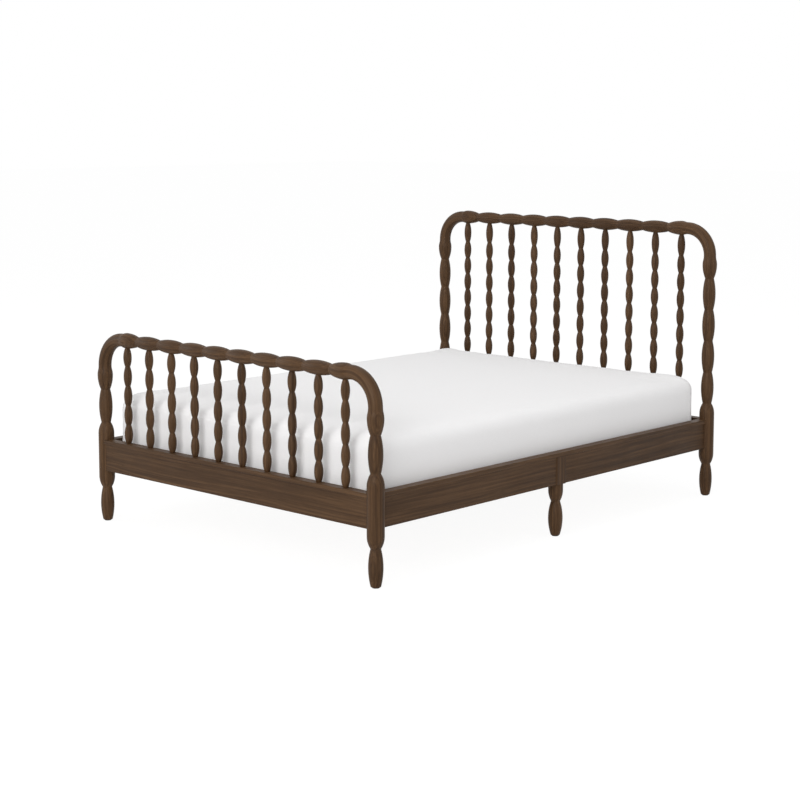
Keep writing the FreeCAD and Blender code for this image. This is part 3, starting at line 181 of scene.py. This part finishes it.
def grain_space(tree, lay, bend=None):
    """Coordinates whose third axis runs along the grain: a board, a turning or round a bend."""
    x, y, z = tree.split(tree.place())
    if lay == "x":
        return tree.combine(z, y, x)
    if lay == "y":
        return tree.combine(x, z, y)
    if lay == "z":
        return tree.combine(tree.math("MULTIPLY", x, -1.0), y, z)
    # Round a bent corner: out from the centre of the bend, across, and along its centre line
    centre_x, centre_z, radius = bend
    side = tree.math("SIGN", x)
    inward = tree.math("SUBTRACT", centre_x, tree.math("ABSOLUTE", x))
    above = tree.math("SUBTRACT", z, centre_z)
    out_x = tree.math("MAXIMUM", tree.math("MULTIPLY", inward, -1.0), 0.0)
    out_z = tree.math("MAXIMUM", above, 0.0)
    outward = tree.distance(out_x, out_z)
    angle = tree.math("ARCTAN2", out_z, tree.math("MAXIMUM", out_x, 1e-5))
    before = tree.math("MINIMUM", above, 0.0)
    after = tree.math("MAXIMUM", inward, 0.0)
    along = tree.math(
        "ADD", tree.math("MULTIPLY", angle, radius), tree.math("ADD", before, after))
    # The two sides of the bed show different stretches of the log
    return tree.combine(tree.math("MULTIPLY_ADD", side, 0.6, outward), y, along)


def wood(name, lay, dark, middle, light, pore, rough, specular, contrast, bend=None):
    """Lacquered wood: growth layers cut by the surface, streaks, pores and a change of tone."""
    tree = new_material(name)
    grain = grain_space(tree, lay, bend)

    def drawn_out(across, along, detail, rough=0.5, distortion=0.0):
        """Noise with about so many features a metre across the grain and along it."""
        return tree.noise(
            tree.stretch(grain, across, across, along), 1.0, detail, rough, distortion)

    across_a, across_b, _ = tree.split(grain)
    heart = tree.distance(
        tree.math("ADD", across_a, HEART[0]), tree.math("ADD", across_b, HEART[1]))
    sway = drawn_out(4.0, 0.9, detail=2.0)
    layers = tree.math("ADD", heart, tree.math("MULTIPLY", sway, 0.05))
    fine_layers = tree.noise_line(layers, 290.0, 2.0, 0.6)
    figure = 0.0
    shares = (
        (tree.noise_line(layers, 84.0, 1.0), 0.20),
        (fine_layers, 0.26),
        (drawn_out(105.0, 2.4, 4.0, 0.6, 0.15), 0.48),  # streaks
        (drawn_out(420.0, 14.0, 2.0, 0.6), 0.20),  # flecks
        (drawn_out(5.5, 0.7, 1.0), 0.28),  # slow change of tone
    )
    for part, share in shares:
        figure = tree.math("MULTIPLY_ADD", part, share, figure)
    # Noise lies round a half, so the figure lies round half of the shares' sum
    mean = sum(share for _, share in shares) / 2
    spread = 0.22 / contrast
    figure = tree.range(figure, mean - spread, mean + spread)
    colour = tree.ramp(figure, [(0.0, dark), (0.45, middle), (1.0, light)])

    pores = tree.range(drawn_out(1500.0, 34.0, 1.0), 0.63, 0.74, curve="SMOOTHSTEP")
    colour = tree.mix(tree.math("MULTIPLY", pores, 0.55), colour, pore)

    gloss = tree.range(tree.noise(grain, 9.0, 3.0), 0.3, 0.7, rough - 0.05, rough + 0.06)
    gloss = tree.math("MULTIPLY_ADD", pores, 0.14, gloss)
    relief = tree.math("MULTIPLY_ADD", pores, -0.8, tree.math("MULTIPLY", fine_layers, 0.35))
    normal = tree.bump(relief, strength=0.22, distance=0.00025)
    ripple = tree.noise(grain, 38.0)
    normal = tree.bump(ripple, strength=0.05, distance=0.0012, under=normal)
    return tree.surface(colour, gloss, normal, specular=specular)


def steel(name, colour, rough):
    """Zinc-plated steel with faint rolling marks and a cloudy passivated coat."""
    tree = new_material(name)
    place = tree.place()
    cloud = tree.noise(place, 90.0, 4.0, 0.6)
    marks = tree.noise(tree.stretch(place, 900.0, 900.0, 60.0), detail=3.0)
    return tree.surface(
        tree.mix(tree.range(cloud, 0.35, 0.65), shaded(colour, 0.86), colour),
        tree.range(marks, 0.3, 0.7, rough - 0.07, rough + 0.1),
        tree.bump(marks, strength=0.12, distance=0.0002),
        metal=1.0,
    )


def plastic(name, colour):
    """Moulded plastic with a fine spark-eroded texture."""
    tree = new_material(name)
    place = tree.place()
    grit = tree.noise(place, 1600.0, 2.0, 0.6)
    scuff = tree.noise(place, 60.0, 4.0, 0.7)
    worn = tuple(channel * 1.7 + 0.01 for channel in colour)
    return tree.surface(
        tree.mix(tree.range(scuff, 0.4, 0.7), colour, worn),
        tree.range(scuff, 0.3, 0.7, 0.5, 0.68),
        tree.bump(grit, strength=0.18, distance=0.0003),
    )


def cloth(name, colour, threads):
    """A smooth, closely woven cover: plain weave of so many threads a metre, and uneven threads."""
    tree = new_material(name)
    place = tree.place()
    wave_x, wave_y, wave_z = (
        tree.math("SINE", tree.math("MULTIPLY", coordinate, math.pi * threads))
        for coordinate in tree.split(place)
    )
    weave = tree.math("ADD", tree.math("MULTIPLY", wave_x, wave_y), tree.math(
        "MULTIPLY", wave_z, tree.math("ADD", wave_x, wave_y)))
    fibres = tree.noise(place, 2400.0, 2.0, 0.6)
    warp = tree.noise(tree.stretch(place, 70.0, 420.0, 420.0), detail=3.0, rough=0.6)
    weft = tree.noise(tree.stretch(place, 420.0, 70.0, 420.0), detail=3.0, rough=0.6)
    slubs = tree.math("MULTIPLY_ADD", warp, 0.5, tree.math("MULTIPLY", weft, 0.5))
    cloud = tree.noise(place, 3.2)
    tint = tree.mix(tree.range(slubs, 0.36, 0.64), shaded(colour, 0.965), colour)
    tint = tree.mix(tree.range(cloud, 0.35, 0.7, 0.0, 0.35), tint, shaded(colour, 0.985))
    normal = tree.bump(
        tree.math("MULTIPLY_ADD", weave, 0.3, fibres), strength=0.2, distance=0.0002)
    return tree.surface(
        tint,
        tree.range(fibres, 0.3, 0.7, 0.84, 0.95),
        tree.bump(slubs, strength=0.1, distance=0.0005, under=normal),
        specular=0.2, sheen=0.12, sheen_rough=0.5,
    )


WALNUT = dict(
    dark=(0.030, 0.0144, 0.0062), middle=(0.0575, 0.0292, 0.0128), light=(0.110, 0.0588, 0.0276),
    pore=(0.014, 0.0066, 0.0030), rough=0.46, specular=0.13, contrast=1.15,
)
# Posts, spindles and legs use a lighter copy of the same walnut: painted light, standing in for the
# extra light that the upright pieces catch.
UPRIGHT_WALNUT_PAINTED_LIGHT = dict(WALNUT, middle=(0.0615, 0.0314, 0.0138), light=(0.117, 0.0626, 0.0294))
PINE = dict(
    dark=(0.42, 0.27, 0.13), middle=(0.57, 0.40, 0.21), light=(0.68, 0.50, 0.29),
    pore=(0.33, 0.20, 0.09), rough=0.66, specular=0.3, contrast=0.8,
)
# Centre of the right-hand bend, across and up, and the radius of its centre line
HEAD_BEND = (0.618, 1.000, 0.11)
FOOT_BEND = (0.618, 0.6095, 0.11)

walnut_x = wood("walnut_across", "x", **WALNUT)
walnut_y = wood("walnut_along", "y", **WALNUT)
walnut_z = wood("walnut_upright_painted_light", "z", **UPRIGHT_WALNUT_PAINTED_LIGHT)
head_bend = wood("walnut_head_bend", "bend", bend=HEAD_BEND, **WALNUT)
foot_bend = wood("walnut_foot_bend", "bend", bend=FOOT_BEND, **WALNUT)
pine_x = wood("pine_across", "x", **PINE)
pine_y = wood("pine_along", "y", **PINE)
zinc = steel("zinc_plate", (0.62, 0.63, 0.64), rough=0.34)
glide_black = plastic("glide_plastic", (0.022, 0.019, 0.017))
ticking = cloth("pale_cover", (0.875, 0.868, 0.870), threads=1150.0)


def material_for(node):
    if node.startswith("head_corner"):
        return head_bend
    if node.startswith("foot_corner"):
        return foot_bend
    if node.endswith("_top_rail") or node.startswith(("head_rail", "foot_rail")):
        return walnut_x
    if node.startswith("side_rail"):
        return walnut_y
    if node in ("slats", "foot_end_cleat", "head_end_cleat", "corner_dowels"):
        return pine_x
    if node.startswith("slat_cleat") or node == "centre_rail":
        return pine_y
    if node.endswith(("_screws", "_bolts", "_plates")):
        return zinc
    if node == "foot_glides":
        return glide_black
    return walnut_z


for node, piece in NODES.items():
    if node == "mattress":
        continue
    if not piece.material_slots:
        piece.data.materials.append(None)
    for slot in piece.material_slots:
        slot.link = "OBJECT"
        slot.material = material_for(node)

# ---------------------------------------------------------------- mattress

LOW, HIGH = (Vector(corner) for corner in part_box("mattress"))
PRE_SHRINK = Vector((0.012, 0.012, 0.008))  # taken off each side before it is filled
VOXEL = 0.0125
PRESSURE = 4.0
FRAMES = 20
MOST_MOVE = 0.014  # of a point, while it is filled
CORNER_DROOP = 0.004


def join_close(mesh, distance):
    made = bmesh.new()
    made.from_mesh(mesh)
    bmesh.ops.remove_doubles(made, verts=made.verts, dist=distance)
    made.to_mesh(mesh)
    made.free()


def apply_modifiers(piece):
    """Leaves the piece with its modified mesh and no modifiers."""
    bpy.context.view_layer.update()
    graph = bpy.context.evaluated_depsgraph_get()
    mesh = bpy.data.meshes.new_from_object(piece.evaluated_get(graph))
    old = piece.data
    piece.modifiers.clear()
    piece.data = mesh
    bpy.data.meshes.remove(old)


def fit_to(mesh, less):
    """Scales the mesh to the rigid mattress's size, less a margin a side, with its base kept low."""
    axes = list(zip(*(vertex.co for vertex in mesh.vertices)))
    least = Vector([min(axis) for axis in axes])
    most = Vector([max(axis) for axis in axes])
    to_least = LOW + Vector((less.x, less.y, 0))
    to_most = HIGH - less
    for vertex in mesh.vertices:
        for axis in range(3):
            share = (vertex.co[axis] - least[axis]) / (most[axis] - least[axis])
            vertex.co[axis] = to_least[axis] + share * (to_most[axis] - to_least[axis])


def fill(piece):
    """Blows the cover out against its own stiffness, with the base held flat."""
    start = [vertex.co.copy() for vertex in piece.data.vertices]
    held = piece.vertex_groups.new(name="held")
    for vertex in piece.data.vertices:
        height = (vertex.co.z - LOW.z) / (HIGH.z - LOW.z)
        held.add([vertex.index], 1.0 if height < 0.05 else 0.02, "REPLACE")
    modifier = piece.modifiers.new("cloth", "CLOTH")
    settings = modifier.settings
    settings.quality = 6
    settings.mass = 0.4
    settings.tension_stiffness = 25
    settings.compression_stiffness = 25
    settings.shear_stiffness = 12
    settings.bending_stiffness = 3
    settings.use_pressure = True
    settings.uniform_pressure_force = PRESSURE
    settings.vertex_group_mass = "held"
    settings.pin_stiffness = 1.0
    settings.effector_weights.gravity = 0
    modifier.collision_settings.use_collision = False
    modifier.collision_settings.use_self_collision = False
    modifier.point_cache.frame_start = 1
    modifier.point_cache.frame_end = FRAMES
    scene = bpy.context.scene
    for number in range(1, FRAMES + 1):
        scene.frame_set(number)
    graph = bpy.context.evaluated_depsgraph_get()
    blown = [vertex.co.copy() for vertex in piece.evaluated_get(graph).data.vertices]
    piece.modifiers.clear()
    piece.vertex_groups.clear()
    for vertex, before, after in zip(piece.data.vertices, start, blown):
        move = after - before
        if move.length > MOST_MOVE:
            move *= MOST_MOVE / move.length
        vertex.co = before + move
    scene.frame_set(1)


def droop(mesh, depth):
    """Lets the upper corners sink, as the filling is softer there."""
    centre = (LOW + HIGH) / 2
    half = (HIGH - LOW) / 2
    for vertex in mesh.vertices:
        across, along, up = ((vertex.co[axis] - centre[axis]) / half[axis] for axis in range(3))
        vertex.co.z -= depth * abs(across * along) ** 3 * max(up, 0.0)


def make_mattress():
    """The soft mattress in place of the rigid one, filled to the same outer size."""
    mesh = NODES["mattress"].data.copy()
    mesh.name = "mattress_cover"
    piece = bpy.data.objects.new("mattress_cover", mesh)
    bpy.context.collection.objects.link(piece)
    mesh.materials.clear()
    join_close(mesh, 0.0005)
    fit_to(mesh, PRE_SHRINK)
    remesh = piece.modifiers.new("even", "REMESH")
    remesh.mode = "VOXEL"
    remesh.voxel_size = VOXEL
    apply_modifiers(piece)
    fill(piece)
    ease = piece.modifiers.new("ease", "SMOOTH")
    ease.factor = 0.5
    ease.iterations = 2
    rounder = piece.modifiers.new("rounder", "SUBSURF")
    rounder.levels = rounder.render_levels = 1
    apply_modifiers(piece)
    fit_to(piece.data, Vector((0, 0, 0)))
    droop(piece.data, CORNER_DROOP)
    for face in piece.data.polygons:
        face.use_smooth = True
    piece.data.materials.append(ticking)
    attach(piece, "mattress_body")
    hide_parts("mattress")


make_mattress()

# ---------------------------------------------------------------- floor, light and camera

WHITE = (1.0, 1.0, 1.0)
FLOOR_HALF = 40.0
FLOOR_DROP = 0.0005  # below the feet, so that the two don't share a plane
AMBIENT = 0.52


def make_floor():
    """A pale floor that the camera sees as near white, with the object's shadow on it."""
    tree = new_material("pale_floor")
    patch = tree.noise(tree.place(), 0.7, 3.0)
    pale = tree.mix(tree.range(patch, 0.3, 0.7), (0.80, 0.80, 0.80), (0.82, 0.82, 0.82))
    plain = tree.add("ShaderNodeBsdfDiffuse", {"Color": pale, "Roughness": 0.0})
    veil = tree.add("ShaderNodeBsdfDiffuse", {"Color": (0.12, 0.12, 0.12)})
    glow = tree.add("ShaderNodeEmission", {"Color": WHITE, "Strength": 0.93})
    bright = tree.add("ShaderNodeAddShader", {0: veil.outputs[0], 1: glow.outputs[0]})
    mesh = bpy.data.meshes.new("floor")
    corners = [(-1, -1), (1, -1), (1, 1), (-1, 1)]
    points = [(x * FLOOR_HALF, y * FLOOR_HALF, 0) for x, y in corners]
    mesh.from_pydata(points, [], [(0, 1, 2, 3)])
    mesh.materials.append(tree.finish(tree.seen(plain, bright)))
    floor = bpy.data.objects.new("floor", mesh)
    bpy.context.collection.objects.link(floor)
    floor.location.z = -FLOOR_DROP


def make_world():
    """Soft light from all round, which the camera sees as white."""
    world = bpy.data.worlds.new("studio")
    bpy.context.scene.world = world
    tree = Tree(world)
    light = tree.add("ShaderNodeBackground", {"Color": WHITE, "Strength": AMBIENT})
    white = tree.add("ShaderNodeBackground", {"Color": WHITE, "Strength": 1.0})
    tree.finish(tree.seen(light, white), "ShaderNodeOutputWorld")


def softbox(name, place, target, size, share):
    """An area lamp. share is what it adds to a white surface that faces it at the target."""
    data = bpy.data.lights.new(name, "AREA")
    data.shape = "SQUARE"
    data.size = size
    way = Vector(target) - Vector(place)
    data.energy = share * math.pi ** 2 * way.length_squared
    lamp = bpy.data.objects.new(name, data)
    bpy.context.collection.objects.link(lamp)
    lamp.location = place
    lamp.rotation_euler = way.to_track_quat("-Z", "Y").to_euler()


def make_camera():
    """The photograph's viewpoint. It looks down slightly, which keeps the shift small."""
    data = bpy.data.cameras.new("camera")
    data.sensor_width = 36.0
    data.lens = 78.518
    data.shift_y = -0.10
    data.clip_start = 0.1
    data.clip_end = 200.0
    camera = bpy.data.objects.new("camera", data)
    bpy.context.collection.objects.link(camera)
    camera.location = (4.6876, -5.1048, 1.5674)
    camera.rotation_euler = (math.radians(90 - 6.631), 0.0, math.radians(43.100))
    bpy.context.scene.camera = camera


make_floor()
make_world()
softbox("key", (2.5, -7.0, 3.6), (0.0, -0.4, 0.4), size=5.0, share=0.52)
softbox("side", (7.2, 1.0, 2.9), (0.0, 0.0, 0.4), size=4.5, share=0.12)
softbox("left", (-6.0, -4.5, 2.6), (0.0, 0.0, 0.5), size=3.0, share=0.13)
softbox("top", (0.0, -0.5, 6.5), (0.0, -0.3, 0.4), size=4.0, share=0.25)
make_camera()
bpy.context.scene.view_settings.view_transform = "Standard"
